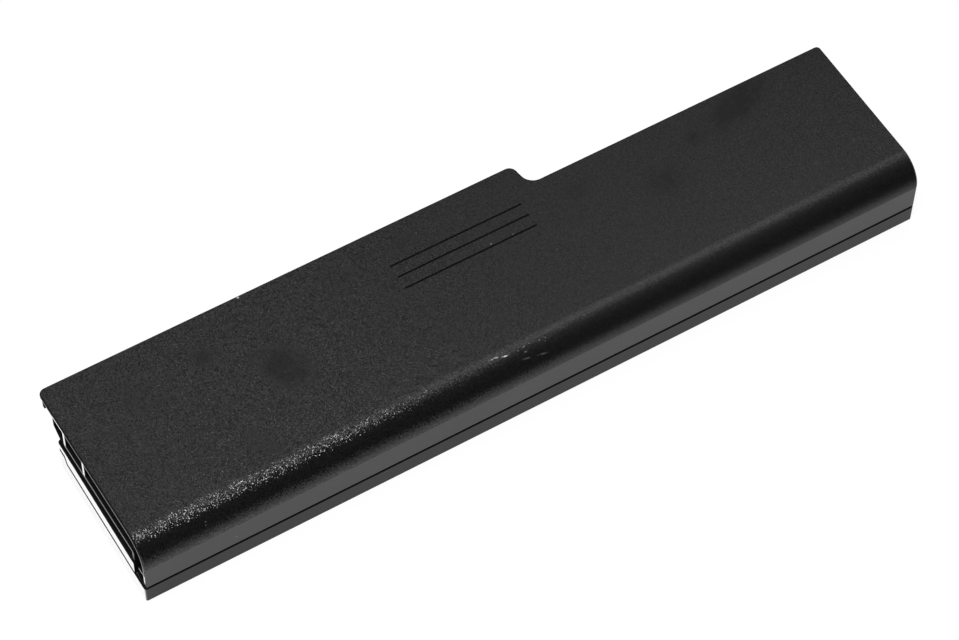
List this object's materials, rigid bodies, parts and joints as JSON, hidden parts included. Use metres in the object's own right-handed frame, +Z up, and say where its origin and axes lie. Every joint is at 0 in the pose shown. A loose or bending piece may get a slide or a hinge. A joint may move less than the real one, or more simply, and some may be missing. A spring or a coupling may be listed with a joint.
{
  "type": "laptop battery",
  "caption": "Flat stepped battery pack for a laptop: two-piece black plastic case with a curved front edge, finger grip lines, a moulded guide-rail end and a blade connector at the back.",
  "frame": {"origin": "middle of the overall box, at the underside", "axes": "+X along the pack from the open rail end to the narrow end, +Y towards the stepped back edge with the connector, +Z up through the roof"},
  "size_m": [0.2054, 0.0494, 0.02],
  "materials": {
    "upper_shell": "black moulded plastic with a fine spark texture, smooth on the band under the front curve",
    "lower_shell": "black moulded plastic, satin",
    "connector_resin": "black glass-filled resin",
    "cell_sleeve": "shrunk sleeve",
    "insulating_paper": "pressed insulating paper",
    "nickel_strip": "rolled nickel",
    "circuit_board": "solder mask over glass laminate",
    "spring_contact": "gold flash over bronze",
    "chip_resin": "moulded resin with tinned leads",
    "resistor_body": "coated metal",
    "fuse_body": "pale ceramic",
    "capacitor_body": "brown ceramic",
    "thermistor_resin": "dipped resin bead",
    "foam": "closed-cell foam"
  },
  "bodies": {
    "root": {"upper_case": "upper_shell", "lower_case": "lower_shell", "connector_housing": "connector_resin", "cell_front_1": "cell_sleeve", "cell_front_2": "cell_sleeve", "cell_front_3": "cell_sleeve", "cell_back_1": "cell_sleeve", "cell_back_2": "cell_sleeve", "cell_back_3": "cell_sleeve", "end_papers": "insulating_paper", "side_paper": "insulating_paper", "negative_strip": "nickel_strip", "tap_strip_1": "nickel_strip", "tap_strip_2": "nickel_strip", "positive_strip": "nickel_strip", "protection_board": "circuit_board", "contact_1": "spring_contact", "contact_2": "spring_contact", "contact_3": "spring_contact", "contact_4": "spring_contact", "contact_5": "spring_contact", "contact_6": "spring_contact", "contact_7": "spring_contact", "gauge_chip": "chip_resin", "protector_chip": "chip_resin", "charge_switch": "chip_resin", "discharge_switch": "chip_resin", "sense_resistor": "resistor_body", "cutoff_fuse": "fuse_body", "capacitors": "capacitor_body", "thermistor": "thermistor_resin", "board_foam": "foam"}
  },
  "joints": []
}
